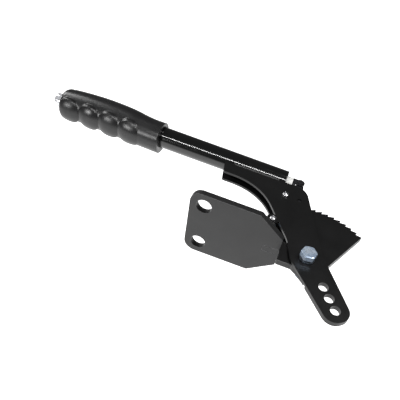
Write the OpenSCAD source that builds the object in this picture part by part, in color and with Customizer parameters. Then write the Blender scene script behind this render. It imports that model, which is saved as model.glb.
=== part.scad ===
// Ratcheting push-button hand lever on a two-hole mounting flange.
//
// Frame: the origin is midway between the two mounting holes, on the mounting face.
// +X runs along the handle from the grip to the pivot, +Y points away from the
// mounting face towards the handle tube, and +Z is the pivot axis (bolt head side).
// The lever is drawn released. It is pulled clockwise, seen from +Z.

/* [Mounting flange] */
// Thickness of the flange plate
flange_t = 6; // [4:0.5:8]
// Width of the flange, across the two holes
flange_w = 70; // [64:1:90]
// Distance from the hole line to the outer edge
flange_edge = 13; // [11:0.5:20]
// Distance from the hole line to the start of the taper
flange_straight = 49.5; // [30:0.5:52]
// Distance from the hole line to the end of the neck
flange_length = 73.2; // [70:0.2:75]
// Width of the neck that carries the sector
neck_w = 32; // [20:1:44]
// Corner radius at the hole end
flange_corner = 10.5; // [3:0.5:12]
// Diameter of the mounting holes
mount_hole_d = 14; // [8:0.5:16]
// Distance between the mounting holes
mount_hole_gap = 44.5; // [36:0.5:46]

/* [Ratchet sector] */
// Thickness of the toothed sector
sector_t = 6; // [4:0.25:7]
// Radius of the tooth tips about the pivot
tip_r = 70.5; // [60:0.1:78]
// Height of the teeth
tooth_h = 3.2; // [2:0.1:4]
// Angle from one tooth to the next
tooth_pitch = 5.43; // [5.2:0.01:5.7]
// Number of teeth
tooth_count = 14; // [14:1:14]
// Angle of the first tooth tip
first_tooth = 50.4; // [48:0.1:54]
// Depth of the rim under the teeth, next to the spacer window
rim_depth = 8.4; // [5:0.1:9]
// Radius of the sector round the pivot
boss_r = 15; // [12:0.5:16.5]
// Distance of the sector's straight edge from the pivot
edge_offset = 17; // [15:0.1:20]
// How far the sector foot reaches past the mounting face
foot_reach = 10.6; // [6:0.2:12]
// Length of the sector tab held in the flange slot
tab_length = 15; // [8:1:20]

/* [Lever plates] */
// Distance of the pivot axis from the hole line
pivot_x = 98; // [96:1:104]
// Height of the pivot axis over the mounting face
pivot_y = 0; // [-3:0.5:3]
// Thickness of each lever plate
sheet = 2.3; // [1.5:0.1:3]
// Length of the cable arm, from the pivot to the outermost hole
arm_length = 55; // [46:1:80]
// Direction of the cable arm
arm_angle = -52.2; // [-58:0.1:-45]
// Radius of the arm's end
arm_end_r = 11.6; // [10:0.1:14]
// Diameter of the cable holes
arm_hole_d = 9; // [6:0.5:11]
// Distance between the cable holes
arm_hole_pitch = 11.9; // [11.6:0.1:14]
// Direction of the line of cable holes
arm_hole_angle = -54.7; // [-60:0.5:-48]
// Distance past the pivot at which the rear plate bends inwards
joggle_start = 18; // [18:0.5:20]
// Length of that bend
joggle_run = 5.5; // [5:0.5:8]
// Half width of the rear plate where it bends, on the grip side
rear_waist = 8.7; // [7:0.1:12]
// Radius of the plates' upper rear corner
plate_corner = 14.5; // [8:0.5:18]
// Height of the plates' top edge below the tube axis
plate_top_drop = 9.6; // [6:0.1:10]
// Distance of that corner from the pivot, towards the grip
plate_corner_back = 19.7; // [17:0.1:24]
// How far the plates reach along the tube
plate_reach = 65; // [50:1:90]
// Depth of the plates below the tube axis at their front end
plate_front_drop = 25.3; // [20:0.1:30]
// Radius of the inner curve of the plates
inner_curve = 56; // [40:1:60]

/* [Handle] */
// Outer diameter of the handle tube
tube_od = 22; // [20:0.5:26]
// Wall of the handle tube
tube_wall = 2; // [1.5:0.25:2.5]
// Height of the tube axis over the mounting face
tube_y = 100; // [96:1:130]
// X of the tube's lower end, next to the pawl
tube_end_x = 55.5; // [50:0.5:57]
// Length of the handle tube
tube_length = 245.5; // [200:0.5:320]
// Length of the grip
grip_length = 110; // [100:1:130]
// Thickness of the grip's end wall
grip_end_wall = 4; // [3:0.5:6]
// Radius of the grip at its ends
grip_end_r = 15.6; // [14.5:0.2:17]
// Radius of the grip at its widest
grip_mid_r = 17.8; // [16.5:0.2:20]
// Distance from one finger recess to the next
finger_pitch = 22; // [20:0.5:24]
// Depth of the finger recesses
finger_depth = 2.6; // [1:0.2:3]
// Radius of the finger recesses
finger_r = 17; // [14:0.5:24]

/* [Release] */
// Diameter of the push button
button_d = 14.5; // [12:0.5:15.5]
// Length of button that stands out of the grip
button_out = 9.5; // [6:0.5:12]
// Length of the button inside the handle
button_in = 16; // [12:1:24]
// Diameter of the push rod
rod_d = 6; // [4:0.5:6.5]
// Wire diameter of the return spring
spring_wire = 1.2; // [0.8:0.1:1.4]
// Number of spring turns
spring_turns = 7; // [5:1:8]
// Length of the return spring at rest
spring_length = 30; // [24:1:40]
// How far the button can move outwards as the pawl drops in
travel_out = 4.35; // [4.2:0.05:4.4]
// Diameter of the clevis pin
clevis_pin_d = 4; // [3:0.5:4.5]

/* [Pawl] */
// Angle of the pawl pivot about the lever pivot
pawl_angle = 107.9; // [106:0.1:109]
// Radius of the pawl's hub
pawl_hub_r = 3.9; // [3.8:0.1:4.6]
// Diameter of the pawl pin
pawl_pin_d = 4.5; // [3.5:0.1:5]
// Distance of the tail pin from the pawl pivot, towards the grip
tail_back = 5.1; // [4:0.1:6]
// How far the pawl turns as it drops into the teeth
drop_angle = 8.2; // [8:0.1:8.4]

/* [Fasteners] */
// Diameter of the pivot bolt
bolt_d = 8; // [6:1:8]
// Width across the flats of the pivot bolt's head
bolt_af = 13; // [10:1:14]
// Height of the pivot bolt's head
bolt_head = 5.3; // [4:0.1:6]
// Outer diameter of the pivot sleeve
sleeve_od = 12; // [11:0.5:14]
// Diameter of the plate spacers
spacer_d = 8; // [6:0.5:8.4]
// Thread diameter of the plate screws
screw_d = 4; // [3:0.5:4.5]

/* [Hidden] */

$fn = 64;
eps = 0.01;
far = 400;

// Clearances, each on one side or on the radius
side_gap = 0.7;      // sector to lever plates
run_gap = 0.05;      // turning and sliding fits
seat_gap = 0.02;     // parts pressed or screwed together
bolt_gap = 0.15;     // bolts and screws in plain holes
free_gap = 0.4;      // pieces that pass without touching

pivot = [pivot_x, pivot_y];
plate_in = sector_t / 2 + side_gap;
plate_out = plate_in + sheet;
root_r = tip_r - tooth_h;
window_r = root_r - rim_depth;
tube_r = tube_od / 2;
bore_r = tube_r - tube_wall;
rod_r = rod_d / 2;
tube_start_x = tube_end_x - tube_length;
grip_start_x = tube_start_x - grip_end_wall;
grip_r = tube_r + seat_gap;

// Lever swing is a whole number of teeth, so the pawl finds a gap at both ends
swing_teeth = 6;
swing = swing_teeth * tooth_pitch;

function polar(r, a) = r * [cos(a), sin(a)];
function turn(v, a) = [v[0] * cos(a) - v[1] * sin(a), v[0] * sin(a) + v[1] * cos(a)];
function unit(v) = v / norm(v);

// Points of an arc of radius r that rounds corner b between the edges to a and c
function round_corner(a, b, c, r, steps = 10) =
    let(
        u = unit(a - b),
        w = unit(c - b),
        half = acos(u * w) / 2,
        centre = b + unit(u + w) * r / sin(half),
        s = b + u * r / tan(half) - centre,
        e = b + w * r / tan(half) - centre,
        start = atan2(s[1], s[0]),
        sweep = atan2(cross(s, e), s * e)
    )
    [for (i = [0:steps]) centre + polar(r, start + sweep * i / steps)];

// Closed outline from corners [x, y, radius]
function rounded_outline(corners) =
    let(n = len(corners), xy = [for (c = corners) [c[0], c[1]]])
    [for (i = [0:n - 1])
        each corners[i][2] > 0
            ? round_corner(xy[(i + n - 1) % n], xy[i], xy[(i + 1) % n], corners[i][2])
            : [xy[i]]];

function corner_at(p, r) = [p[0], p[1], r];

// A round bar from x0 to x1 on the tube axis
module bar(x0, x1, r) {
    translate([x0, tube_y, 0])
        rotate([0, 90, 0])
            cylinder(h = x1 - x0, r = r);
}

// A ring from x0 to x1 on the tube axis
module ring(x0, x1, outer, inner) {
    difference() {
        bar(x0, x1, outer);
        bar(x0 - 1, x1 + 1, inner);
    }
}

// An upright round bar from z0 to z1 at point p
module post(p, z0, z1, r) {
    translate([p[0], p[1], z0])
        cylinder(h = z1 - z0, r = r);
}

// ---- mounting flange and sector ----

flange_outline = rounded_outline([
    [-flange_edge, -flange_w / 2, flange_corner],
    [flange_straight, -flange_w / 2, 2],
    [flange_length, -neck_w / 2, 1],
    [flange_length, neck_w / 2, 1],
    [flange_straight, flange_w / 2, 2],
    [-flange_edge, flange_w / 2, flange_corner]
]);

module mounting_flange() {
    color([0.07, 0.07, 0.08])
        difference() {
            translate([0, flange_t, 0])
                rotate([90, 0, 0])
                    linear_extrude(height = flange_t)
                        polygon(flange_outline);
            for (side = [-1, 1])
                translate([0, flange_t + 1, side * mount_hole_gap / 2])
                    rotate([90, 0, 0])
                        cylinder(h = flange_t + 2, d = mount_hole_d);
            translate([flange_length - tab_length, -1, -sector_t / 2 - seat_gap])
                cube([tab_length + 1, flange_t + 2, sector_t + 2 * seat_gap]);
        }
}

// Saw teeth: each rises clockwise and drops radially at its tip
sector_fan = [
    [0, 0],
    for (i = [0:tooth_count - 1]) each [
        polar(tip_r, first_tooth + i * tooth_pitch),
        polar(root_r, first_tooth + (i + 1) * tooth_pitch)
    ]
];
// The sector ends just past its first tip, in a straight edge that passes the boss
heel_angle = first_tooth - 0.3;
heel_r = tip_r - 1.4;
sector_heel = [
    [0, 0],
    polar(edge_offset, heel_angle - acos(edge_offset / heel_r)),
    polar(heel_r, heel_angle),
    polar(tip_r, first_tooth),
    polar(root_r, first_tooth + 2)
];

// Corners of the foot that joins the boss to the flange neck
foot_corners = rounded_outline([
    [flange_length - pivot_x, -pivot_y - foot_reach, 1.5],
    [0, -pivot_y - foot_reach, 0],
    [0, boss_r - 1, 0],
    [flange_length - tab_length - pivot_x, flange_t * 2 - pivot_y, 1.5],
    [flange_length - tab_length - pivot_x, -pivot_y, 0],
    [flange_length - pivot_x, -pivot_y, 0]
]);

// Lower spacer of the lever, which sweeps through the window under the rim
lower_spacer = [pivot_x - 40.5, pivot_y + 33.7];
spacer_v = lower_spacer - pivot;
spacer_angle = atan2(spacer_v[1], spacer_v[0]);
window_angle = spacer_angle - swing - asin((spacer_d / 2 + 1) / norm(spacer_v));

module sector_window() {
    intersection() {
        circle(r = window_r);
        polygon([[0, 0], polar(far, window_angle), polar(far, window_angle + 60), polar(far, 190)]);
    }
}

module ratchet_sector() {
    color([0.05, 0.05, 0.05])
        translate([pivot_x, pivot_y, -sector_t / 2])
            difference() {
                linear_extrude(height = sector_t)
                    union() {
                        difference() {
                            polygon(sector_fan);
                            sector_window();
                        }
                        polygon(sector_heel);
                        circle(r = boss_r);
                        polygon(foot_corners);
                    }
                translate([0, 0, -1])
                    cylinder(h = sector_t + 2, r = sleeve_od / 2 + run_gap);
            }
}

// ---- lever plates ----

arm_dir = polar(1, arm_angle);
arm_side = polar(1, arm_angle + 90);
arm_end = pivot + arm_length * arm_dir;
arm_holes = [for (i = [0:2]) arm_end - i * arm_hole_pitch * polar(1, arm_hole_angle)];
plate_top_y = tube_y - plate_top_drop;
upper_spacer = [pivot_x - 37.7, tube_y - 27.9];
ear_r = spacer_d / 2 + 2;

arm_left = arm_end + arm_end_r * (arm_dir - arm_side);
arm_right = arm_end + arm_end_r * (arm_dir + arm_side);

// Corners of a plate's edge on the grip side of the pivot, with their radii.
// The rear plate is narrow where it bends and meets the front plate's edge beyond the bend.
front_root = [[pivot_x - 14.1, pivot_y - 6.8, 20]];
merge = 0.42;
rear_root = [
    [pivot_x - 11.5, pivot_y - 6, 10],
    corner_at(pivot + (joggle_start + 0.5) * arm_dir - rear_waist * arm_side, 8),
    [for (i = [0:1]) front_root[0][i] * (1 - merge) + arm_left[i] * merge, 4]
];

// Outline of a plate, anticlockwise from its front end at the tube
function plate_outline(root) = rounded_outline([
    [tube_end_x - plate_reach, tube_y - tube_r + 4, 0],
    [tube_end_x - plate_reach, tube_y - tube_r + 1, 0],
    [tube_end_x - plate_reach + 3.6, tube_y - plate_front_drop, 2],
    [pivot_x - 63.9, tube_y - plate_front_drop, inner_curve],
    [pivot_x - 21.6, pivot_y + 13.8, 30],
    each root,
    corner_at(arm_left, arm_end_r - 0.4),
    corner_at(arm_right, arm_end_r - 0.4),
    [pivot_x + 12, pivot_y + 11.1, 30],
    [pivot_x - plate_corner_back, plate_top_y, plate_corner],
    [tube_end_x, plate_top_y, 0],
    [tube_end_x, tube_y - tube_r + 4, 0]
]);

module plate_face(root) {
    difference() {
        union() {
            polygon(plate_outline(root));
            translate(lower_spacer)
                circle(r = ear_r);
        }
        for (p = arm_holes)
            translate(p)
                circle(d = arm_hole_d);
        for (p = [upper_spacer, lower_spacer])
            translate(p)
                circle(r = screw_d / 2 + bolt_gap);
        translate(pivot)
            circle(r = bolt_d / 2 + bolt_gap);
        translate(pawl_pivot)
            circle(r = pawl_pin_d / 2 + seat_gap);
    }
}

// The plates are coped to the underside of the tube
module tube_cope() {
    bar(tube_end_x - plate_reach - 10, tube_end_x + seat_gap, tube_r + seat_gap);
}

module front_plate() {
    color([0.06, 0.06, 0.07])
        difference() {
            translate([0, 0, plate_in])
                linear_extrude(height = sheet)
                    plate_face(front_root);
            tube_cope();
        }
}

// Side view of the rear sheet, along the arm: flat, then bent inwards to meet the front plate
joggle = [
    [-far, -plate_out],
    [joggle_start, -plate_out],
    [joggle_start + joggle_run, plate_in - sheet],
    [far, plate_in - sheet],
    [far, plate_in],
    [joggle_start + joggle_run - 1, plate_in],
    [joggle_start - 1, -plate_in],
    [-far, -plate_in]
];

module rear_plate() {
    color([0.06, 0.06, 0.07])
        difference() {
            intersection() {
                translate([0, 0, -plate_out - 1])
                    linear_extrude(height = 2 * plate_out + 2)
                        plate_face(rear_root);
                translate([pivot_x, pivot_y, 0])
                    rotate([0, 0, arm_angle])
                        translate([0, far, 0])
                            rotate([90, 0, 0])
                                linear_extrude(height = 2 * far)
                                    polygon(joggle);
            }
            tube_cope();
        }
}

module plate_spacers() {
    color([0.55, 0.56, 0.58])
        for (p = [upper_spacer, lower_spacer])
            difference() {
                post(p, -plate_in, plate_in, spacer_d / 2);
                post(p, -plate_in - 1, plate_in + 1, screw_d / 2 + seat_gap);
            }
}

// Button-head screw on the front face, with a hexagon socket
screw_head_r = screw_d * 0.82;
screw_head_h = screw_d * 0.5;
screw_grip = 2.4;
module plate_screw() {
    difference() {
        union() {
            translate([0, 0, plate_out])
                rotate_extrude()
                    polygon([
                        [0, 0],
                        [screw_head_r, 0],
                        [screw_head_r, 0.5],
                        [screw_head_r * 0.86, screw_head_h * 0.7],
                        [screw_head_r * 0.55, screw_head_h],
                        [0, screw_head_h]
                    ]);
            translate([0, 0, plate_in - screw_grip])
                cylinder(h = plate_out - plate_in + screw_grip, d = screw_d);
        }
        translate([0, 0, plate_out + screw_head_h - 1.2])
            cylinder(h = 2, r = screw_d * 0.36, $fn = 6);
    }
}

module front_plate_screws() {
    color([0.8, 0.8, 0.82])
        for (p = [upper_spacer, lower_spacer])
            translate(p)
                plate_screw();
}

module rear_plate_screws() {
    color([0.8, 0.8, 0.82])
        for (p = [upper_spacer, lower_spacer])
            translate(p)
                rotate([180, 0, 0])
                    plate_screw();
}

// ---- pivot ----

washer_t = 1.6;
lock_washer_t = 2;
nut_h = 8;
nut_collar_h = 1.6;
washer_r = bolt_d;
front_washer_r = bolt_d * 0.86;
bolt_tail = 2.4;
front_stack = plate_out + washer_t + lock_washer_t;
rear_stack = plate_out + washer_t;
sleeve_bore_r = bolt_d / 2 + 0.1;

module hexagon(af, h) {
    cylinder(h = h, r = af / 2 / cos(30), $fn = 6);
}

// Hexagon with its corners turned down on one end
module turned_hexagon(af, h) {
    intersection() {
        hexagon(af, h);
        rotate_extrude()
            polygon([[0, 0], [af, 0], [af, h - 3], [af / 2 * 0.94, h], [0, h]]);
    }
}

module pivot_sleeve() {
    color([0.6, 0.6, 0.62])
        difference() {
            post(pivot, -plate_in, plate_in, sleeve_od / 2);
            post(pivot, -plate_in - 1, plate_in + 1, sleeve_bore_r);
        }
}

module pivot_bolt() {
    color([0.75, 0.8, 0.86]) {
        translate([pivot_x, pivot_y, front_stack])
            rotate([0, 0, 11])
                turned_hexagon(bolt_af, bolt_head);
        post(pivot, -rear_stack - nut_h - bolt_tail, front_stack, bolt_d / 2);
    }
}

module flat_washer(z, r) {
    difference() {
        post(pivot, z, z + washer_t, r);
        post(pivot, z - 1, z + washer_t + 1, bolt_d / 2 + bolt_gap);
    }
}

module front_washer() {
    color([0.78, 0.8, 0.84])
        flat_washer(plate_out, front_washer_r);
}

module lock_washer() {
    color([0.7, 0.72, 0.75])
        difference() {
            post(pivot, plate_out + washer_t, front_stack, bolt_d * 0.8);
            post(pivot, plate_out, front_stack + 1, bolt_d / 2 + bolt_gap);
            // The split, cut at a slant as on a coiled washer
            translate([pivot_x, pivot_y, plate_out + washer_t + lock_washer_t / 2])
                rotate([20, 0, 0])
                    translate([bolt_d * 0.3, -0.4, -3])
                        cube([bolt_d, 0.8, 6]);
        }
}

module rear_washer() {
    color([0.78, 0.8, 0.84])
        flat_washer(-plate_out - washer_t, washer_r);
}

// Lock nut with a raised collar
module pivot_nut() {
    color([0.75, 0.78, 0.82])
        difference() {
            translate([pivot_x, pivot_y, -rear_stack])
                rotate([180, 0, 0])
                    union() {
                        turned_hexagon(bolt_af, nut_h - nut_collar_h);
                        cylinder(h = nut_h, r = bolt_af * 0.4);
                    }
            post(pivot, -rear_stack - nut_h - 1, -rear_stack + 1, bolt_d / 2 + seat_gap);
        }
}

// ---- handle ----

module handle_tube() {
    color([0.06, 0.06, 0.07])
        ring(tube_start_x, tube_end_x, tube_r, bore_r);
}

grip_end_x = grip_start_x + grip_length;
first_finger = grip_start_x + 10.5;

// Radius of the grip at fraction k of its length: fuller towards the button end
function grip_radius(k) = grip_end_r + (grip_mid_r - grip_end_r) * pow(sin(180 * pow(k, 0.85)), 1.1);

grip_profile = [
    [0, 0],
    [grip_end_r - 2, 0],
    for (i = [1:14]) let(k = i / 15) [grip_radius(k), k * grip_length],
    [grip_end_r, grip_length],
    [0, grip_length]
];

module grip() {
    color([0.12, 0.12, 0.13])
        difference() {
            translate([grip_start_x, tube_y, 0])
                rotate([0, 90, 0])
                    rotate_extrude()
                        polygon(grip_profile);
            bar(tube_start_x - seat_gap, grip_end_x + 1, grip_r);
            bar(grip_start_x - 1, tube_start_x + 1, button_d / 2 + free_gap);
            for (i = [0:3])
                translate([first_finger + i * finger_pitch,
                        tube_y - grip_mid_r - finger_r + finger_depth, -far / 2])
                    cylinder(h = far, r = finger_r);
        }
}

// ---- release ----

button_start_x = grip_start_x - button_out;
button_end_x = grip_start_x + button_in;
button_r = button_d / 2;
bush_length = 9;
bush_start_x = tube_start_x + 1;
socket_depth = 12;
rod_start_x = button_end_x - socket_depth;
seat_x = button_end_x + spring_length;
seat_t = 4;
collar_t = 4;
collar_gap = 0.3;
collar_x = seat_x + seat_t + travel_out + collar_gap;
guide_length = 8;
guide_recess = 9;
rod_sleeve_r = 6;
rod_sleeve_in = 4;

module button_bush() {
    color([0.2, 0.2, 0.2])
        ring(bush_start_x, bush_start_x + bush_length, bore_r - seat_gap, button_r + run_gap);
}

module release_button() {
    color([0.85, 0.85, 0.87])
        difference() {
            translate([button_start_x, tube_y, 0])
                rotate([0, 90, 0])
                    rotate_extrude()
                        polygon([
                            [0, 0],
                            [button_r - 1.2, 0],
                            [button_r - 0.4, 0.3],
                            [button_r, 1.2],
                            [button_r, button_end_x - button_start_x],
                            [0, button_end_x - button_start_x]
                        ]);
            bar(rod_start_x - seat_gap, button_end_x + 1, rod_r + seat_gap);
        }
}

module spring_seat() {
    color([0.5, 0.5, 0.5])
        ring(seat_x, seat_x + seat_t, bore_r - seat_gap, rod_r + free_gap);
}

spring_r = rod_r + spring_wire / 2 + 1.4;
spring_sides = 8;
spring_steps = 14;
spring_rise = (spring_length - spring_wire - 2 * eps) / spring_turns;

// Rings of a wire wound round the X axis, closed at both ends
function coil_ring(i) =
    let(a = 360 * i / spring_steps)
    [for (j = [0:spring_sides - 1])
        let(b = 360 * j / spring_sides, r = spring_r + spring_wire / 2 * cos(b))
        [spring_wire / 2 + eps + spring_rise * i / spring_steps + spring_wire / 2 * sin(b),
            r * cos(a), r * sin(a)]];

coil_rings = spring_turns * spring_steps;

module return_spring() {
    color([0.6, 0.6, 0.6])
        translate([button_end_x, tube_y, 0])
            polyhedron(
                points = [for (i = [0:coil_rings]) each coil_ring(i)],
                faces = concat(
                    [[for (j = [0:spring_sides - 1]) j]],
                    [for (i = [0:coil_rings - 1], j = [0:spring_sides - 1])
                        let(k = (j + 1) % spring_sides, a = i * spring_sides, b = a + spring_sides)
                        [a + j, b + j, b + k, a + k]],
                    [[for (j = [spring_sides - 1:-1:0]) coil_rings * spring_sides + j]]
                )
            );
}

// Pawl pivot, just outside the tooth tips
pawl_hover = 0.3;
pawl_pivot = pivot + polar(tip_r + pawl_hover + pawl_hub_r, pawl_angle);
tail_pin = [pawl_pivot[0] - tail_back, tube_y];
tail_r = 3.8;
clevis_r = 4.5;
clevis_root = 3.5;
clevis_gap = 0.2;
ear_t = 1.8;
ear_in = sector_t / 2 + clevis_gap;
clevis_start_x = tail_pin[0] - tail_r - 0.6 - clevis_root;

module push_rod() {
    color([0.8, 0.8, 0.82])
        bar(rod_start_x, clevis_start_x + clevis_root - 0.5, rod_r);
}

module stop_collar() {
    color([0.4, 0.4, 0.42])
        ring(collar_x, collar_x + collar_t, rod_r + 3, rod_r + seat_gap);
}

module rod_guide_bush() {
    color([0.15, 0.15, 0.15])
        ring(tube_end_x - guide_recess - guide_length, tube_end_x - guide_recess,
            bore_r - seat_gap, rod_r + run_gap);
}

// Nylon sleeve on the rod, from inside the tube's end to the clevis
module rod_sleeve() {
    color([0.9, 0.9, 0.88])
        ring(tube_end_x - rod_sleeve_in, clevis_start_x, rod_sleeve_r, rod_r + seat_gap);
}

// Fork that straddles the pawl's tail
module rod_clevis() {
    color([0.16, 0.16, 0.17])
        difference() {
            union() {
                bar(clevis_start_x, clevis_start_x + clevis_root, clevis_r);
                for (side = [-1, 1])
                    translate([0, 0, side * (ear_in + ear_t / 2) - ear_t / 2]) {
                        translate(tail_pin)
                            cylinder(h = ear_t, r = clevis_r);
                        translate([clevis_start_x, tube_y - clevis_r + 1, 0])
                            cube([tail_pin[0] - clevis_start_x, 2 * clevis_r - 2, ear_t]);
                    }
            }
            bar(clevis_start_x - 1, clevis_start_x + clevis_root - 0.5 + seat_gap, rod_r + seat_gap);
            post(tail_pin, -far, far, clevis_pin_d / 2 + seat_gap);
        }
}

pin_head_t = 1.2;
clip_t = 0.8;
ear_out = ear_in + ear_t;

module clevis_pin() {
    color([0.75, 0.75, 0.78])
        difference() {
            union() {
                post(tail_pin, -ear_out - 2.2, ear_out + eps, clevis_pin_d / 2);
                post(tail_pin, ear_out, ear_out + pin_head_t, clevis_pin_d / 2 + 1.1);
            }
            // Groove for the clip
            difference() {
                post(tail_pin, -ear_out - clip_t - 0.1, -ear_out - 0.05, clevis_pin_d);
                post(tail_pin, -ear_out - 3, -ear_out + 1, clevis_pin_d / 2 - 0.5);
            }
        }
}

// Spring clip in the pin's groove, open on one side
module pin_clip() {
    color([0.3, 0.3, 0.32])
        difference() {
            post(tail_pin, -ear_out - clip_t - 0.05, -ear_out - 0.1, clevis_pin_d / 2 + 1.5);
            post(tail_pin, -ear_out - 2, -ear_out + 1, clevis_pin_d / 2 - 0.45);
            translate([tail_pin[0], tube_y - clevis_pin_d / 2 + 0.6, -ear_out - 2])
                cube([clevis_pin_d * 2, clevis_pin_d - 1.2, 3]);
        }
}

// ---- pawl ----

pawl_pin_recess = 1.5;
module pawl_pin() {
    color([0.25, 0.25, 0.26])
        post(pawl_pivot, -plate_out + 0.3, plate_out - pawl_pin_recess, pawl_pin_d / 2);
}

// The nose is laid out dropped into a gap, then turned back to its carried position
nose_tooth = first_tooth + (tooth_count - 1) * tooth_pitch;
nose_clear = 1.1;
nose_in = pivot + polar(root_r + nose_clear, nose_tooth - 0.55) - pawl_pivot;
nose_up = polar(1, nose_tooth);
nose_tip = turn(nose_in, -drop_angle);
nose_heel = turn(nose_in + 4.5 * nose_up, -drop_angle);
nose_toe = turn(nose_in + 6.5 * turn(nose_up, -40), -drop_angle);
tail_v = tail_pin - pawl_pivot;
tail_dir = unit(tail_v);
tail_side = turn(tail_dir, 90);
slot_r = clevis_pin_d / 2 + 0.2;
slot_up = 3.2;
slot_down = 2.8;

// Bar with round ends of radius r along the tail, centred at distances a and b
function tail_bar(a, b, r) = rounded_outline([
    for (c = [[a - r, r], [a - r, -r], [b + r, -r], [b + r, r]])
        corner_at(tail_dir * c[0] + tail_side * c[1], r - eps)
]);

module pawl() {
    color([0.13, 0.13, 0.14])
        translate([pawl_pivot[0], pawl_pivot[1], -sector_t / 2])
            difference() {
                linear_extrude(height = sector_t)
                    difference() {
                        union() {
                            circle(r = pawl_hub_r);
                            polygon([nose_tip, nose_toe, [0.5, -3.5], [2.8, 2], [-2, 3.4], nose_heel]);
                            polygon(tail_bar(0, norm(tail_v), tail_r));
                        }
                        // Slot that takes up the arc of the tail
                        polygon(tail_bar(norm(tail_v) - slot_down + slot_r, norm(tail_v) + slot_up - slot_r, slot_r));
                    }
                translate([0, 0, -1])
                    cylinder(h = sector_t + 2, r = pawl_pin_d / 2 + run_gap);
            }
}

mounting_flange();
ratchet_sector();
front_plate();
rear_plate();
plate_spacers();
front_plate_screws();
rear_plate_screws();
handle_tube();
grip();
button_bush();
rod_guide_bush();
spring_seat();
return_spring();
pivot_sleeve();
pivot_bolt();
front_washer();
lock_washer();
rear_washer();
pivot_nut();
pawl_pin();
release_button();
push_rod();
stop_collar();
rod_sleeve();
rod_clevis();
clevis_pin();
pin_clip();
pawl();
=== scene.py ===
"""Looks of the push-button ratcheting hand lever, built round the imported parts.

Distances are in metres, in the frame of the parts: +X along the handle towards the pivot, +Y from the
mounting face towards the handle tube, and +Z along the pivot bolt towards its head.
"""
import bmesh
import bpy
import math
import numpy as np
from mathutils import Matrix, Vector


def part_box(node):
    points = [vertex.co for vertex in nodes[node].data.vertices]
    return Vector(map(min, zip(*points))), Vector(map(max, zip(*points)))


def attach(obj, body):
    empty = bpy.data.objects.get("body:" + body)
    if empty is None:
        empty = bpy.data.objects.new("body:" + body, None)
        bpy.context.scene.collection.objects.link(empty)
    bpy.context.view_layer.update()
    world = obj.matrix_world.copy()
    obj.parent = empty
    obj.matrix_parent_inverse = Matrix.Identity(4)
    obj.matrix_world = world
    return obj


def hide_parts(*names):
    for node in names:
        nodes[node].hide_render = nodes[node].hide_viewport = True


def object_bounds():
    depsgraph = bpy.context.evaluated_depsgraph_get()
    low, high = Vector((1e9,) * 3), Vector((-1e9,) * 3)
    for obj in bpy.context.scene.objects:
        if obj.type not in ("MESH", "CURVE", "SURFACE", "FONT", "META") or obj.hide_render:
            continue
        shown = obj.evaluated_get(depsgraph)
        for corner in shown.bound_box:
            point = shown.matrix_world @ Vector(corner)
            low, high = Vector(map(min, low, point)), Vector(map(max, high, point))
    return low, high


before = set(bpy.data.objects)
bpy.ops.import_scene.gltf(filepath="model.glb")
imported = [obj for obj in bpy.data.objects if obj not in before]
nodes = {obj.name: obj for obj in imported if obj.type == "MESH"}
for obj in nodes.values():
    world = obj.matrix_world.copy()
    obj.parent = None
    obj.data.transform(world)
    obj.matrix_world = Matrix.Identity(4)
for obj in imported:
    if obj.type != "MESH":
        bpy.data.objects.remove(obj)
cad_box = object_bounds()
MM = 0.001


# ---------------------------------------------------------------- places taken from the frame

def span(node):
    """Lowest and highest corner of a node, as numpy points."""
    low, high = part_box(node)
    return np.array(low), np.array(high)


tube_low, tube_high = span("handle_tube")
TUBE_Y = (tube_low[1] + tube_high[1]) / 2
TUBE_R = (tube_high[1] - tube_low[1]) / 2
TUBE_END_X = tube_high[0]
grip_low, grip_high = span("grip")
button_low, button_high = span("release_button")
spring_low, spring_high = span("return_spring")
plate_low, plate_high = span("front_plate")
rear_low = span("rear_plate")[0]
flange_high = span("mounting_flange")[1]
sector_high = span("ratchet_sector")[1]


# ---------------------------------------------------------------- shader node groups

def new_group(name, inputs, outputs):
    """An empty shader node group; inputs and outputs are (name, socket type, default) rows."""
    group = bpy.data.node_groups.new(name, "ShaderNodeTree")
    for label, kind, value in inputs:
        socket = group.interface.new_socket(label, in_out="INPUT", socket_type=kind)
        if value is not None:
            socket.default_value = value
    for label, kind in outputs:
        group.interface.new_socket(label, in_out="OUTPUT", socket_type=kind)
    start = group.nodes.new("NodeGroupInput")
    end = group.nodes.new("NodeGroupOutput")
    return group, start, end


def noise(tree, vector, scale, detail=3.0, rough=0.5):
    """A noise texture on a vector."""
    node = tree.nodes.new("ShaderNodeTexNoise")
    node.inputs["Detail"].default_value = detail
    node.inputs["Roughness"].default_value = rough
    if hasattr(scale, "default_value"):
        tree.links.new(scale, node.inputs["Scale"])
    else:
        node.inputs["Scale"].default_value = scale
    tree.links.new(vector, node.inputs["Vector"])
    return node.outputs["Fac"]


def ramp(tree, value, low, high, out_low=0.0, out_high=1.0):
    """A value stretched from low..high to out_low..out_high, and held at its ends."""
    node = tree.nodes.new("ShaderNodeMapRange")
    node.clamp = True
    for label, number in (("From Min", low), ("From Max", high), ("To Min", out_low), ("To Max", out_high)):
        if hasattr(number, "default_value"):
            tree.links.new(number, node.inputs[label])
        else:
            node.inputs[label].default_value = number
    tree.links.new(value, node.inputs["Value"])
    return node.outputs["Result"]


def math_node(tree, operation, a, b=0.5):
    """One arithmetic step."""
    node = tree.nodes.new("ShaderNodeMath")
    node.operation = operation
    for i, number in enumerate((a, b)):
        if hasattr(number, "default_value"):
            tree.links.new(number, node.inputs[i])
        else:
            node.inputs[i].default_value = number
    return node.outputs[0]


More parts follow.
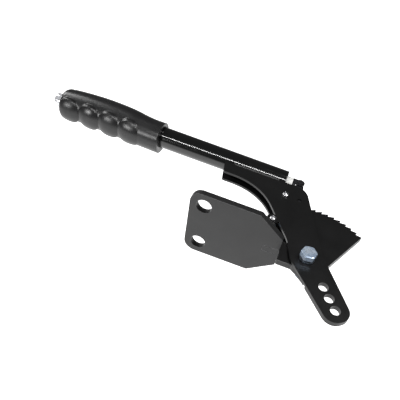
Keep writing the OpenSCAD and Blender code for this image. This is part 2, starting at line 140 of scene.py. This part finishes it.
def mix_colour(tree, factor, a, b):
    """Two colours mixed by a factor; each may be a socket or a plain colour."""
    node = tree.nodes.new("ShaderNodeMix")
    node.data_type = "RGBA"
    tree.links.new(factor, node.inputs["Factor"])
    for label, colour in ((6, a), (7, b)):
        if hasattr(colour, "default_value"):
            tree.links.new(colour, node.inputs[label])
        else:
            node.inputs[label].default_value = (*colour, 1.0)
    return node.outputs[2]


def powder_group():
    """Powder coat: colour, roughness and height of an orange-peel skin, with a painted highlight on the
    rolled edges, broken up by noise.
    """
    group, start, end = new_group("Powder coat", [
        ("Colour", "NodeSocketColor", (0.02, 0.02, 0.02, 1.0)),
        ("Painted edge highlight", "NodeSocketColor", (0.08, 0.08, 0.08, 1.0)),
        ("Roughness", "NodeSocketFloat", 0.35),
        ("Peel size", "NodeSocketFloat", 900.0),
    ], [("Colour", "NodeSocketColor"), ("Roughness", "NodeSocketFloat"), ("Height", "NodeSocketFloat")])
    place = group.nodes.new("ShaderNodeTexCoord")
    edge = group.nodes.new("ShaderNodeAttribute")
    edge.attribute_name = "edge"
    peel = noise(group, place.outputs["Object"], start.outputs["Peel size"], 2.0, 0.45)
    cloud = noise(group, place.outputs["Object"], 38.0, 4.0, 0.6)
    # Painted highlight: the rolled edge faces take the paler edge colour, broken up by noise, standing in for
    # the light that rounded edges catch.
    highlight_breakup = ramp(group, noise(group, place.outputs["Object"], 170.0, 5.0, 0.7), 0.42, 0.66)
    painted_edge_highlight_mask = math_node(group, "MULTIPLY", edge.outputs["Fac"], ramp(group, highlight_breakup, 0.0, 1.0, 0.45, 1.0))
    colour = mix_colour(group, painted_edge_highlight_mask, start.outputs["Colour"], start.outputs["Painted edge highlight"])
    drift = ramp(group, cloud, 0.3, 0.7, -0.045, 0.045)
    rough = math_node(group, "ADD", start.outputs["Roughness"], drift)
    rough = math_node(group, "ADD", rough, ramp(group, peel, 0.3, 0.7, -0.02, 0.03))
    group.links.new(colour, end.inputs["Colour"])
    group.links.new(rough, end.inputs["Roughness"])
    group.links.new(peel, end.inputs["Height"])
    return group


def plated_group():
    """Plated or drawn steel: fine lines along one direction, faint cloudiness and dulled patches."""
    group, start, end = new_group("Plated steel", [
        ("Colour", "NodeSocketColor", (0.6, 0.62, 0.65, 1.0)),
        ("Tint", "NodeSocketColor", (0.45, 0.55, 0.7, 1.0)),
        ("Roughness", "NodeSocketFloat", 0.25),
        ("Stretch", "NodeSocketVector", (1.0, 1.0, 1.0)),
    ], [("Colour", "NodeSocketColor"), ("Roughness", "NodeSocketFloat"), ("Height", "NodeSocketFloat")])
    place = group.nodes.new("ShaderNodeTexCoord")
    scaled = group.nodes.new("ShaderNodeVectorMath")
    scaled.operation = "MULTIPLY"
    group.links.new(place.outputs["Object"], scaled.inputs[0])
    group.links.new(start.outputs["Stretch"], scaled.inputs[1])
    lines = noise(group, scaled.outputs[0], 1500.0, 3.0, 0.6)
    cloud = noise(group, place.outputs["Object"], 160.0, 4.0, 0.6)
    colour = mix_colour(group, ramp(group, cloud, 0.35, 0.68), start.outputs["Colour"], start.outputs["Tint"])
    dull = ramp(group, noise(group, place.outputs["Object"], 420.0, 3.0, 0.6), 0.35, 0.7, -0.06, 0.12)
    rough = math_node(group, "ADD", start.outputs["Roughness"], dull)
    rough = math_node(group, "ADD", rough, ramp(group, lines, 0.3, 0.7, -0.03, 0.05))
    group.links.new(colour, end.inputs["Colour"])
    group.links.new(rough, end.inputs["Roughness"])
    group.links.new(lines, end.inputs["Height"])
    return group


def moulded_group():
    """Moulded rubber: fine spark-eroded grain, and skin polished by the hand in cloudy patches."""
    group, start, end = new_group("Moulded rubber", [
        ("Colour", "NodeSocketColor", (0.02, 0.02, 0.02, 1.0)),
        ("Worn colour", "NodeSocketColor", (0.05, 0.05, 0.05, 1.0)),
        ("Roughness", "NodeSocketFloat", 0.45),
    ], [("Colour", "NodeSocketColor"), ("Roughness", "NodeSocketFloat"), ("Height", "NodeSocketFloat")])
    place = group.nodes.new("ShaderNodeTexCoord")
    grain = noise(group, place.outputs["Object"], 2200.0, 3.0, 0.6)
    cloud = noise(group, place.outputs["Object"], 55.0, 4.0, 0.6)
    polish = ramp(group, cloud, 0.35, 0.65)
    colour = mix_colour(group, polish, start.outputs["Colour"], start.outputs["Worn colour"])
    rough = math_node(group, "ADD", start.outputs["Roughness"], ramp(group, polish, 0.0, 1.0, 0.05, -0.05))
    rough = math_node(group, "ADD", rough, ramp(group, grain, 0.3, 0.7, -0.03, 0.04))
    group.links.new(colour, end.inputs["Colour"])
    group.links.new(rough, end.inputs["Roughness"])
    group.links.new(grain, end.inputs["Height"])
    return group


POWDER = powder_group()
PLATED = plated_group()
MOULDED = moulded_group()


# ---------------------------------------------------------------- materials

def surface(name, group, values, bump, metallic=0.0, coat=0.0, coat_rough=0.1, specular=0.5):
    """A Principled material whose colour, roughness and bump come from one of the groups."""
    material = bpy.data.materials.new(name)
    material.use_nodes = True
    tree = material.node_tree
    shader = tree.nodes["Principled BSDF"]
    shader.inputs["Metallic"].default_value = metallic
    shader.inputs["Coat Weight"].default_value = coat
    shader.inputs["Coat Roughness"].default_value = coat_rough
    shader.inputs["Specular IOR Level"].default_value = specular
    effect = tree.nodes.new("ShaderNodeGroup")
    effect.node_tree = group
    for label, value in values.items():
        effect.inputs[label].default_value = value
    raised = tree.nodes.new("ShaderNodeBump")
    raised.inputs["Distance"].default_value = bump * MM
    raised.inputs["Strength"].default_value = 1.0
    tree.links.new(effect.outputs["Colour"], shader.inputs["Base Color"])
    tree.links.new(effect.outputs["Roughness"], shader.inputs["Roughness"])
    tree.links.new(effect.outputs["Height"], raised.inputs["Height"])
    tree.links.new(raised.outputs["Normal"], shader.inputs["Normal"])
    return material


def grey(level, blue=1.0):
    return (level, level, level * blue, 1.0)


# The paler edge colour of each coat below is a painted highlight on its rolled edges.
satin_black = surface("satin_black_powder", POWDER, {
    "Colour": grey(0.004, 1.03), "Painted edge highlight": grey(0.07, 1.03),
    "Roughness": 0.33, "Peel size": 700.0}, 0.02)
flange_black = surface("flange_black_powder", POWDER, {
    "Colour": grey(0.008, 1.05), "Painted edge highlight": grey(0.06, 1.05),
    "Roughness": 0.42, "Peel size": 700.0}, 0.02)
gloss_black = surface("gloss_black_tube", POWDER, {
    "Colour": grey(0.003, 1.05), "Painted edge highlight": grey(0.05, 1.03), "Roughness": 0.14, "Peel size": 350.0},
    0.008, coat=0.5, coat_rough=0.08)
weld_black = surface("painted_weld", POWDER, {
    "Colour": grey(0.012, 1.03), "Painted edge highlight": grey(0.05, 1.03),
    "Roughness": 0.38, "Peel size": 900.0}, 0.03)
grip_rubber = surface("moulded_grip_rubber", MOULDED, {
    "Colour": grey(0.006, 1.04), "Worn colour": grey(0.011, 1.04), "Roughness": 0.30}, 0.010)
nylon_black = surface("black_nylon", MOULDED, {
    "Colour": grey(0.015), "Worn colour": grey(0.03), "Roughness": 0.5}, 0.01)
nylon_white = surface("natural_nylon", MOULDED, {
    "Colour": (0.86, 0.86, 0.84, 1.0), "Worn colour": (0.74, 0.74, 0.71, 1.0), "Roughness": 0.38}, 0.008)
zinc = surface("bright_zinc", PLATED, {
    "Colour": (0.60, 0.68, 0.78, 1.0), "Tint": (0.34, 0.46, 0.64, 1.0), "Roughness": 0.26,
    "Stretch": (1.0, 1.0, 1.0)}, 0.006, metallic=0.65)
dull_zinc = surface("dull_zinc_washer", PLATED, {
    "Colour": (0.16, 0.18, 0.21, 1.0), "Tint": (0.10, 0.12, 0.15, 1.0), "Roughness": 0.34,
    "Stretch": (1.0, 1.0, 1.0)}, 0.006, metallic=1.0)
drawn_steel = surface("drawn_steel", PLATED, {
    "Colour": (0.72, 0.72, 0.73, 1.0), "Tint": (0.60, 0.60, 0.62, 1.0), "Roughness": 0.2,
    "Stretch": (0.04, 1.0, 1.0)}, 0.004, metallic=1.0)
chrome = surface("polished_chrome", PLATED, {
    "Colour": (0.80, 0.80, 0.82, 1.0), "Tint": (0.72, 0.73, 0.76, 1.0), "Roughness": 0.07,
    "Stretch": (1.0, 1.0, 1.0)}, 0.001, metallic=0.6)
dark_steel = surface("phosphated_steel", PLATED, {
    "Colour": (0.035, 0.035, 0.038, 1.0), "Tint": (0.02, 0.02, 0.022, 1.0), "Roughness": 0.38,
    "Stretch": (1.0, 1.0, 1.0)}, 0.008, metallic=0.6)
spring_steel = surface("spring_wire", PLATED, {
    "Colour": (0.34, 0.34, 0.36, 1.0), "Tint": (0.25, 0.25, 0.27, 1.0), "Roughness": 0.28,
    "Stretch": (1.0, 1.0, 1.0)}, 0.004, metallic=1.0)


# ---------------------------------------------------------------- making pieces

def shade(mesh, sharp_deg=35.0):
    """Smooth shading, kept crisp where faces meet at more than sharp_deg."""
    mesh.polygons.foreach_set("use_smooth", np.ones(len(mesh.polygons), bool))
    mesh.set_sharp_from_angle(angle=math.radians(sharp_deg))
    mesh.update()


def piece(name, points, faces, material, body, stands_for=(), sharp_deg=35.0):
    """A finished piece from arrays of points and faces."""
    mesh = bpy.data.meshes.new(name)
    mesh.from_pydata([tuple(p) for p in points], [], [tuple(int(i) for i in f) for f in faces])
    mesh.validate()
    shade(mesh, sharp_deg)
    obj = bpy.data.objects.new(name, mesh)
    bpy.context.scene.collection.objects.link(obj)
    mesh.materials.append(material)
    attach(obj, body)
    if stands_for:
        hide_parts(*stands_for)
    return obj


def grid_faces(rows, columns, closed=True, base=0):
    """Quads of a grid of rows by columns points; closed joins the last column to the first."""
    i, j = np.meshgrid(np.arange(rows - 1), np.arange(columns if closed else columns - 1), indexing="ij")
    k = (j + 1) % columns
    quads = np.stack([i * columns + j, i * columns + k, (i + 1) * columns + k, (i + 1) * columns + j], -1)
    return quads.reshape(-1, 4) + base


def outward(obj):
    """Turns a closed mesh's faces to point outwards."""
    work = bmesh.new()
    work.from_mesh(obj.data)
    bmesh.ops.remove_doubles(work, verts=work.verts, dist=1e-7)
    bmesh.ops.recalc_face_normals(work, faces=work.faces)
    work.to_mesh(obj.data)
    work.free()
    obj.data.update()


def lathe(name, profile, centre_y, centre_z, material, body, stands_for=(), around=96, sharp_deg=35.0):
    """Surface of revolution about a line along X.

    Point (k, t) is (x_k, centre_y + r_k cos t, centre_z + r_k sin t), where (x_k, r_k) is the profile and t
    runs once round. A profile that starts and ends at radius 0 is closed by fans of merged points.
    """
    profile = np.asarray(profile, float)
    t = np.linspace(0, 2 * np.pi, around, endpoint=False)
    points = np.stack([
        np.repeat(profile[:, 0], around),
        (centre_y + profile[:, 1:2] * np.cos(t)).ravel(),
        (centre_z + profile[:, 1:2] * np.sin(t)).ravel()], -1)
    obj = piece(name, points, grid_faces(len(profile), around), material, body, stands_for, sharp_deg)
    outward(obj)
    shade(obj.data, sharp_deg)
    return obj


def softened(node, material, body, radius, segments=3, sharp_deg=32.0):
    """A copy of a CAD node with its sharp edges rolled to a small radius, as powder or tumbling leaves them.

    The rolled faces carry the attribute "edge" = 1, and the flat ones 0; the powder coat paints a highlight
    on the faces marked 1.
    """
    mesh = nodes[node].data.copy()
    mesh.name = node + "_rolled"
    work = bmesh.new()
    work.from_mesh(mesh)
    bmesh.ops.remove_doubles(work, verts=work.verts, dist=2e-6)
    bmesh.ops.dissolve_limit(work, angle_limit=math.radians(0.6), verts=work.verts, edges=work.edges)
    layer = work.faces.layers.float.new("edge")
    crisp = math.radians(sharp_deg)
    edges = [e for e in work.edges if len(e.link_faces) == 2 and e.calc_face_angle(0.0) > crisp]
    done = bmesh.ops.bevel(
        work, geom=edges, offset=radius * MM, offset_type="OFFSET", segments=segments, profile=0.5,
        affect="EDGES", clamp_overlap=True, miter_outer="ARC")
    for face in done["faces"]:
        face[layer] = 1.0
    bmesh.ops.triangulate(work, faces=[f for f in work.faces if len(f.verts) > 4], ngon_method="EAR_CLIP")
    work.to_mesh(mesh)
    work.free()
    mesh.materials.clear()
    mesh.materials.append(material)
    shade(mesh, 40.0)
    obj = bpy.data.objects.new(node + "_rolled", mesh)
    bpy.context.scene.collection.objects.link(obj)
    level = obj.modifiers.new("level_faces", "WEIGHTED_NORMAL")
    level.mode = "FACE_AREA"
    level.weight = 90
    level.keep_sharp = True
    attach(obj, body)
    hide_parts(node)
    return obj


# ---------------------------------------------------------------- grip

# The grip and the button's free end sit this much nearer the pivot than their CAD solids do.
END_PLAY = 3.4 * MM
GRIP_X0 = grip_low[0] + END_PLAY
GRIP_LENGTH = grip_high[0] - grip_low[0]
LOBES = 4
LOBE_PITCH = 22.2 * MM
FIRST_LOBE = 11.2 * MM
LOBE_HEIGHT = 2.7 * MM
START_ROLL = 4.5 * MM
END_ROLL = 0.5 * MM
# Radius in mm at even steps from the button end to the tube end, on the back and on the belly.
BACK_RADII = (14.6, 16.6, 17.9, 18.7, 19.1, 19.0, 18.4, 17.2, 15.2, 13.9, 13.9)
BELLY_RADII = (14.9, 14.5, 14.4, 14.6, 14.9, 15.3, 15.9, 16.7, 17.5, 18.1, 18.4)


def smooth_step(x):
    x = np.clip(x, 0, 1)
    return x * x * (3 - 2 * x)


def through(radii, s):
    """A smooth curve through evenly spaced values, a cubic with the neighbours' slopes between each two."""
    v = np.asarray(radii)
    slope = np.gradient(v)
    place = np.clip(s, 0, 1) * (len(v) - 1)
    i = np.minimum(place.astype(int), len(v) - 2)
    f = place - i
    return (v[i] * (1 + 2 * f) * (1 - f) ** 2 + slope[i] * f * (1 - f) ** 2
            + v[i + 1] * f * f * (3 - 2 * f) + slope[i + 1] * f * f * (f - 1))


def grip_piece():
    """Moulded grip: a long oval body with four raised lobes on the belly, which the fingers lie between.

    Along s (0 at the button end, 1 at the tube end) the back radius swells and then narrows, while the belly
    radius grows. Between back and belly the radius blends with the cosine of the angle from the belly. Each
    lobe adds 1 - |a|^2.4 of its height, a running from -1 to 1 across it, inside an arch whose half width is
    60 degrees times the root of 1 - |a|^2.6. The button end is rolled over widely and the tube end a little.
    """
    rows, around = 440, 220
    s = np.linspace(0, 1, rows)[:, None]
    t = np.linspace(0, 2 * np.pi, around, endpoint=False)[None, :]
    x = s * GRIP_LENGTH
    belly = (1 + np.cos(t)) / 2
    radius = (through(BACK_RADII, s) * (1 - belly) + through(BELLY_RADII, s) * belly) * MM
    from_first = (x - FIRST_LOBE) / LOBE_PITCH
    nearest = np.clip(np.round(from_first), 0, LOBES - 1)
    across = np.clip(np.abs(from_first - nearest) * 2, 0, 1)
    spread = np.abs((t + np.pi) % (2 * np.pi) - np.pi)
    arch = np.radians(8 + 54 * np.sqrt(1 - across ** 2.6))
    inside = 1 - smooth_step((spread / arch - 0.76) / 0.24)
    height = LOBE_HEIGHT * (1 - 0.45 * smooth_step((s - 0.3) / 0.6))
    radius = radius + height * (1 - across ** 2.4) * inside
    for roll, away in ((START_ROLL, x), (END_ROLL, GRIP_LENGTH - x)):
        lip = np.clip(1 - away / roll, 0, 1)
        radius = radius - roll * (1 - np.sqrt(1 - lip ** 2)) * 0.9
    angle = t - np.pi / 2
    y = TUBE_Y + radius * np.sin(angle)
    z = radius * np.cos(angle)
    outer = np.stack([np.broadcast_to(GRIP_X0 + x, y.shape), y, z], -1).reshape(-1, 3)
    hole_r = (button_high[1] - button_low[1]) / 2 + 0.45 * MM
    rings = [
        (GRIP_X0 + GRIP_LENGTH, TUBE_R + 0.9 * MM),
        (GRIP_X0 + GRIP_LENGTH - 0.5 * MM, TUBE_R + 0.15 * MM),
        (GRIP_X0 + 4.0 * MM, TUBE_R + 0.15 * MM),
        (GRIP_X0 + 4.0 * MM, hole_r),
        (GRIP_X0 + 0.6 * MM, hole_r),
        (GRIP_X0, hole_r + 0.7 * MM),
    ]
    inner = np.concatenate([
        np.stack([np.full(around, rx), TUBE_Y + rr * np.sin(angle[0]), rr * np.cos(angle[0])], -1)
        for rx, rr in rings])
    points = np.concatenate([outer, inner])
    total = rows + len(rings)
    faces = grid_faces(total, around)
    closing = grid_faces(2, around)
    last = (total - 1) * around
    closing = np.where(closing < around, closing + last, closing - around)
    faces = np.concatenate([faces, closing])
    obj = piece("grip_moulding", points, faces, grip_rubber, "lever", ["grip"], 38.0)
    outward(obj)
    shade(obj.data, 38.0)
    return obj


grip_piece()


# ---------------------------------------------------------------- button and spring

def quarter(x0, r0, x1, r1, steps=6):
    """Points of a quarter ellipse from (x0, r0) to (x1, r1)."""
    a = np.linspace(0, np.pi / 2, steps)
    return [(x1 + (x0 - x1) * math.cos(v), r0 + (r1 - r0) * math.sin(v)) for v in a]


def button_piece():
    """Turned push button: a shallow dome, a rolled rim and a fine groove near the end."""
    r = (button_high[1] - button_low[1]) / 2
    x0, x1 = button_low[0] + END_PLAY, button_high[0]
    dome = [(x0 + 0.55 * MM * (k / 10) ** 2, (r - 1.5 * MM) * k / 10) for k in range(11)]
    profile = dome + quarter(x0 + 0.55 * MM, r - 1.5 * MM, x0 + 2.0 * MM, r, 8)
    groove_r = r - 0.35 * MM
    profile += [(x0 + 4.3 * MM, r), (x0 + 4.4 * MM, groove_r), (x0 + 4.9 * MM, groove_r), (x0 + 5.0 * MM, r)]
    profile += [(x1 - 0.4 * MM, r), (x1, r - 0.4 * MM), (x1, 0.0)]
    return lathe(
        "button_turned", profile, TUBE_Y, 0.0, chrome, "release", ["release_button"], 96, 30.0)


def spring_piece():
    """Coiled wire: a circle of the wire's radius carried along a helix about the X axis."""
    turns, wire = 7, 0.6 * MM
    coil = (spring_high[1] - spring_low[1]) / 2 - wire
    steps, sides = turns * 40, 12
    a = np.linspace(0, 2 * np.pi * turns, steps)[:, None]
    b = np.linspace(0, 2 * np.pi, sides, endpoint=False)[None, :]
    length = spring_high[0] - spring_low[0] - 2 * wire
    x = spring_low[0] + wire + length * a / (2 * np.pi * turns) + wire * np.sin(b)
    r = coil + wire * np.cos(b)
    points = np.stack([x, TUBE_Y + r * np.cos(a), r * np.sin(a)], -1).reshape(-1, 3)
    faces = [tuple(f) for f in grid_faces(steps, sides)]
    faces += [tuple(range(sides)), tuple(range(steps * sides - 1, (steps - 1) * sides - 1, -1))]
    obj = piece("spring_coil", points, faces, spring_steel, "lever", ["return_spring"], 60.0)
    outward(obj)
    shade(obj.data, 60.0)
    return obj


button_piece()
spring_piece()


# ---------------------------------------------------------------- weld beads

def weld_bead(name, path, normal, width, height, body, ripple=1.7):
    """A weld bead: a low oval section carried along a path, its lower half sunk in the metal.

    Point (k, a) is path_k + width/2 cos a side_k + height sin a normal, where side is across the path. Width
    and height swell with a rounded saw wave, one wave for each ripple, so the bead looks laid drop by drop,
    and both taper at the ends.
    """
    sides = 22
    path = np.asarray(path, float)
    step = np.linalg.norm(np.diff(path, axis=0), axis=1)
    run = np.concatenate([[0], np.cumsum(step)])
    count = max(24, int(run[-1] / (0.22 * MM)))
    s = np.linspace(0, run[-1], count)
    line = np.stack([np.interp(s, run, path[:, i]) for i in range(3)], -1)
    tangent = np.gradient(line, axis=0)
    tangent /= np.linalg.norm(tangent, axis=1)[:, None]
    normal = np.asarray(normal, float) / np.linalg.norm(normal)
    side = np.cross(tangent, normal)
    side /= np.linalg.norm(side, axis=1)[:, None]
    phase = (s / (ripple * MM)) % 1.0
    wave = np.sqrt(np.clip(1 - (phase - 0.25) ** 2 / 0.5625, 0, 1))
    taper = np.sqrt(np.clip(np.minimum(s, run[-1] - s) / (width * 0.5 * MM), 0.02, 1))
    wide = width * 0.5 * MM * taper * (0.93 + 0.07 * wave) * (1 + 0.05 * np.sin(s / (4.3 * MM)))
    tall = height * MM * taper * (0.80 + 0.20 * wave)
    a = np.linspace(0, 2 * np.pi, sides, endpoint=False)[None, :]
    points = (line[:, None, :] + (wide[:, None] * np.cos(a))[..., None] * side[:, None, :]
              + (tall[:, None] * np.sin(a))[..., None] * normal)
    faces = [tuple(f) for f in grid_faces(count, sides)]
    faces += [tuple(range(sides)), tuple(range(count * sides - 1, (count - 1) * sides - 1, -1))]
    obj = piece(name, points.reshape(-1, 3), faces, weld_black, body, (), 60.0)
    outward(obj)
    shade(obj.data, 60.0)
    return obj


def welds():
    """Beads along the tube on both plates, and down both sides of the sector's tab behind the flange."""
    for label, z, sign in (("front", plate_high[2], 1), ("rear", rear_low[2], -1)):
        drop = math.sqrt(TUBE_R ** 2 - z ** 2)
        x0 = plate_low[0] + 10 * MM
        line = [(x, TUBE_Y - drop - 0.1 * MM, z) for x in np.linspace(x0, TUBE_END_X - 6 * MM, 12)]
        weld_bead(f"tube_weld_{label}", line, (0, -0.35, sign), 2.6, 1.0, "lever")
    tab_x0 = flange_high[0] - 14 * MM
    top = flange_high[1]
    for label, sign in (("front", 1), ("rear", -1)):
        z = sign * sector_high[2]
        line = [(x, top + 0.2 * MM, z) for x in np.linspace(tab_x0, flange_high[0] - 0.5 * MM, 8)]
        weld_bead(f"tab_weld_{label}", line, (0, 1, sign), 4.0, 1.6, "bracket")


welds()


# ---------------------------------------------------------------- metal parts from the frame

ROLLED = [
    ("mounting_flange", flange_black, "bracket", "black_coat", 0.7),
    ("ratchet_sector", satin_black, "bracket", "black_coat", 0.35),
    ("front_plate", satin_black, "lever", "black_coat", 0.45),
    ("rear_plate", satin_black, "lever", "black_coat", 0.45),
    ("handle_tube", gloss_black, "lever", "gloss_black_coat", 0.4),
    ("pivot_bolt", zinc, "lever", "zinc", 0.25),
    ("pivot_nut", zinc, "lever", "zinc", 0.25),
    ("front_washer", dull_zinc, "lever", "zinc", 0.2),
    ("rear_washer", dull_zinc, "lever", "zinc", 0.2),
    ("lock_washer", dull_zinc, "lever", "zinc", 0.15),
    ("front_plate_screws", drawn_steel, "lever", "bright_steel", 0.12),
    ("rear_plate_screws", drawn_steel, "lever", "bright_steel", 0.12),
    ("rod_sleeve", nylon_white, "release", "white_nylon", 0.35),
    ("rod_clevis", dark_steel, "release", "dark_steel", 0.3),
    ("clevis_pin", dark_steel, "release", "dark_steel", 0.2),
    ("pawl", dark_steel, "pawl_body", "dark_steel", 0.4),
]
for node, material, body, slot_name, radius in ROLLED:
    softened(node, material, body, radius)

PLAIN = {
    "plate_spacers": zinc, "button_bush": nylon_black, "rod_guide_bush": nylon_black,
    "spring_seat": dull_zinc, "pivot_sleeve": zinc, "pawl_pin": dark_steel,
    "push_rod": drawn_steel, "stop_collar": dull_zinc, "pin_clip": spring_steel,
}
for node, material in PLAIN.items():
    mesh = nodes[node].data
    mesh.materials.clear()
    mesh.materials.append(material)


# ---------------------------------------------------------------- floor, light and camera

FLOOR_REACH = 3.0
FLOOR_DROP = 0.16
FLOOR_GLOW = 0.55
SKY_GLOW = 0.10


def floor():
    """A wide pale floor under the lever. It glows a little, as a table lit from all round does."""
    size, level = FLOOR_REACH, cad_box[0][2] - FLOOR_DROP
    mesh = bpy.data.meshes.new("floor")
    mesh.from_pydata([(-size, -size, level), (size, -size, level), (size, size, level), (-size, size, level)],
                     [], [(0, 1, 2, 3)])
    obj = bpy.data.objects.new("floor", mesh)
    bpy.context.scene.collection.objects.link(obj)
    material = bpy.data.materials.new("pale_floor")
    material.use_nodes = True
    shader = material.node_tree.nodes["Principled BSDF"]
    shader.inputs["Base Color"].default_value = (0.9, 0.9, 0.9, 1.0)
    shader.inputs["Roughness"].default_value = 0.9
    shader.inputs["Emission Color"].default_value = (1.0, 1.0, 1.0, 1.0)
    path = material.node_tree.nodes.new("ShaderNodeLightPath")
    glow = material.node_tree.nodes.new("ShaderNodeMapRange")
    glow.inputs["To Min"].default_value = FLOOR_GLOW
    glow.inputs["To Max"].default_value = 1.0
    material.node_tree.links.new(path.outputs["Is Camera Ray"], glow.inputs["Value"])
    material.node_tree.links.new(glow.outputs["Result"], shader.inputs["Emission Strength"])
    mesh.materials.append(material)


def area_light(name, place, target, size, power):
    """A soft rectangular lamp at a place, turned to a target."""
    data = bpy.data.lights.new(name, "AREA")
    data.shape = "RECTANGLE"
    data.size, data.size_y = size
    data.energy = power
    lamp = bpy.data.objects.new(name, data)
    bpy.context.scene.collection.objects.link(lamp)
    aim = Vector(target) - Vector(place)
    lamp.matrix_world = Matrix.Translation(Vector(place)) @ aim.to_track_quat("-Z", "Y").to_matrix().to_4x4()


def camera():
    """The camera: its direction, roll, distance and frame shift."""
    azimuth, elevation, roll = (math.radians(v) for v in (2.41, 44.4, 18.34))
    target = Vector((60 * MM, 20 * MM, 0.0))
    back = Vector((math.sin(azimuth) * math.cos(elevation), -math.cos(azimuth) * math.cos(elevation),
                   math.sin(elevation)))
    right = Vector((math.cos(azimuth), math.sin(azimuth), 0.0))
    up = back.cross(right)
    level_right = math.cos(roll) * right + math.sin(roll) * up
    level_up = -math.sin(roll) * right + math.cos(roll) * up
    data = bpy.data.cameras.new("camera")
    data.sensor_width = 36.0
    data.lens = 42.01
    data.shift_x = -0.1754
    data.shift_y = 0.0835
    data.clip_start = 0.01
    obj = bpy.data.objects.new("camera", data)
    bpy.context.scene.collection.objects.link(obj)
    turn = Matrix((level_right, level_up, back)).transposed().to_4x4()
    obj.matrix_world = Matrix.Translation(target + back * 0.42501) @ turn
    bpy.context.scene.camera = obj


def world_light():
    """A dim, even sky, so that black faces stay black."""
    world = bpy.data.worlds.new("sky")
    world.use_nodes = True
    world.node_tree.nodes["Background"].inputs["Color"].default_value = (1.0, 1.0, 1.0, 1.0)
    world.node_tree.nodes["Background"].inputs["Strength"].default_value = SKY_GLOW
    bpy.context.scene.world = world


bpy.context.scene.view_settings.view_transform = "Standard"
floor()
world_light()
area_light("strip", (0.05, -0.60, 0.86), (0.0, 0.10, 0.0), (1.0, 0.03), 7.0)
area_light("front_soft", (-0.55, -0.75, 0.30), (-0.17, 0.10, 0.0), (0.25, 0.25), 3.0)
area_light("left_soft", (-0.75, 0.25, 0.55), (-0.02, 0.06, 0.0), (0.35, 0.35), 5.0)
area_light("crown", (0.35, 0.10, 0.85), (0.05, 0.05, 0.0), (0.12, 0.5), 4.0)
camera()
